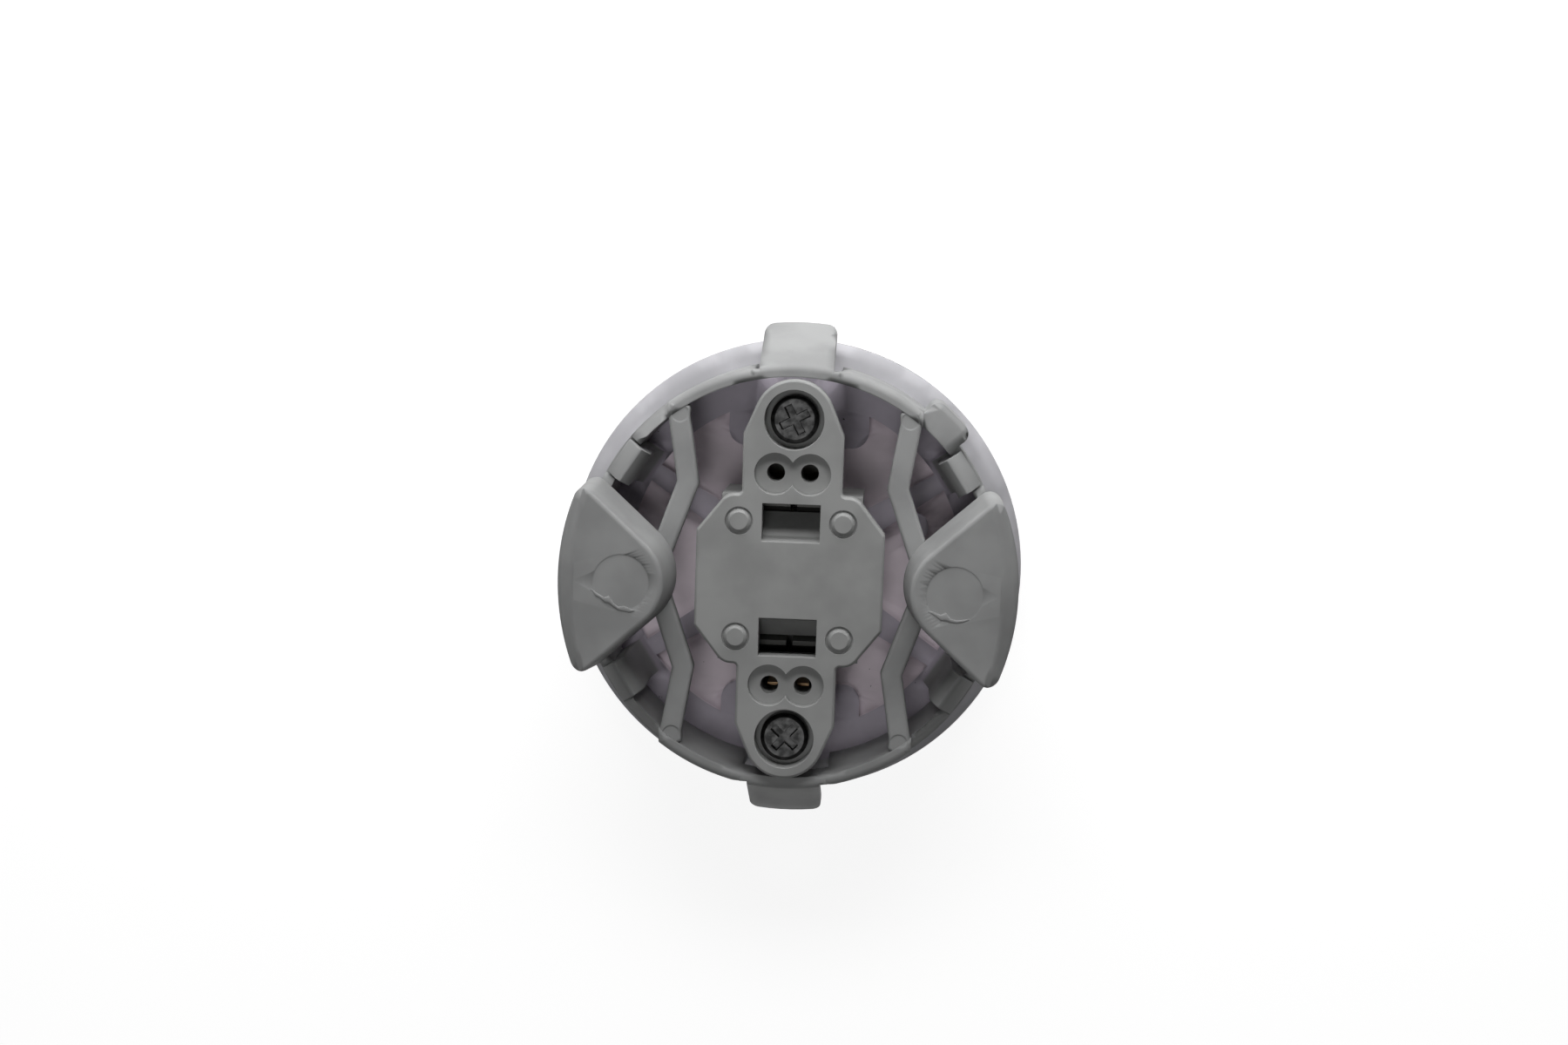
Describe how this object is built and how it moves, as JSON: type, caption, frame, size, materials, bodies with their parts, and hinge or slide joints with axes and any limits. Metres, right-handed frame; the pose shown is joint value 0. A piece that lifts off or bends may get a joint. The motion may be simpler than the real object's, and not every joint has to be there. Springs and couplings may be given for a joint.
{
  "type": "fluorescent lamp holder",
  "caption": "Round snap-in lamp holder seen from its wired side: flanged disc, latch ring with finger pads on spring arms, terminal plate with push-in wire entries.",
  "frame": {"origin": "centre of the lamp collar's rim, on the axis, where the part stands", "axes": "+Z along the axis towards the wired side, +Y towards one panel tongue, +X towards one finger pad, with the keying lug between +X and +Y"},
  "size_m": [0.0598, 0.0644, 0.0354],
  "materials": {
    "body_plastic": "light grey-white moulded plastic, slightly translucent in its thin floor",
    "ring_plastic": "light grey-white moulded plastic with a soft sheen",
    "plate_plastic": "light grey-white moulded plastic",
    "contact_bronze": "bright phosphor bronze strip",
    "spring_steel": "bright spring steel strip",
    "screw_steel": "dark plated steel"
  },
  "bodies": {
    "holder": {"front_body": "body_plastic", "latch_ring": "ring_plastic", "terminal_plate": "plate_plastic", "contact_block": "plate_plastic", "upper_contact": "contact_bronze", "lower_contact": "contact_bronze", "upper_screw": "screw_steel", "lower_screw": "screw_steel", "upper_left_arm": "ring_plastic", "lower_left_arm": "ring_plastic", "upper_right_arm": "ring_plastic", "lower_right_arm": "ring_plastic", "upper_left_grip_spring": "spring_steel", "upper_right_grip_spring": "spring_steel", "lower_left_grip_spring": "spring_steel", "lower_right_grip_spring": "spring_steel"},
    "left_pad": {"left_wing": "ring_plastic"},
    "right_pad": {"right_wing": "ring_plastic"}
  },
  "joints": [
    {"name": "left_pad_press", "type": "slide", "parent": "holder", "child": "left_pad", "axis": [1, 0, 0], "range_m": [0, 0.0016], "stiffness_N_per_m": 1500, "deforming": ["upper_left_arm", "lower_left_arm"]},
    {"name": "right_pad_press", "type": "slide", "parent": "holder", "child": "right_pad", "axis": [-1, 0, 0], "range_m": [0, 0.0016], "stiffness_N_per_m": 1500, "deforming": ["upper_right_arm", "lower_right_arm"]}
  ]
}
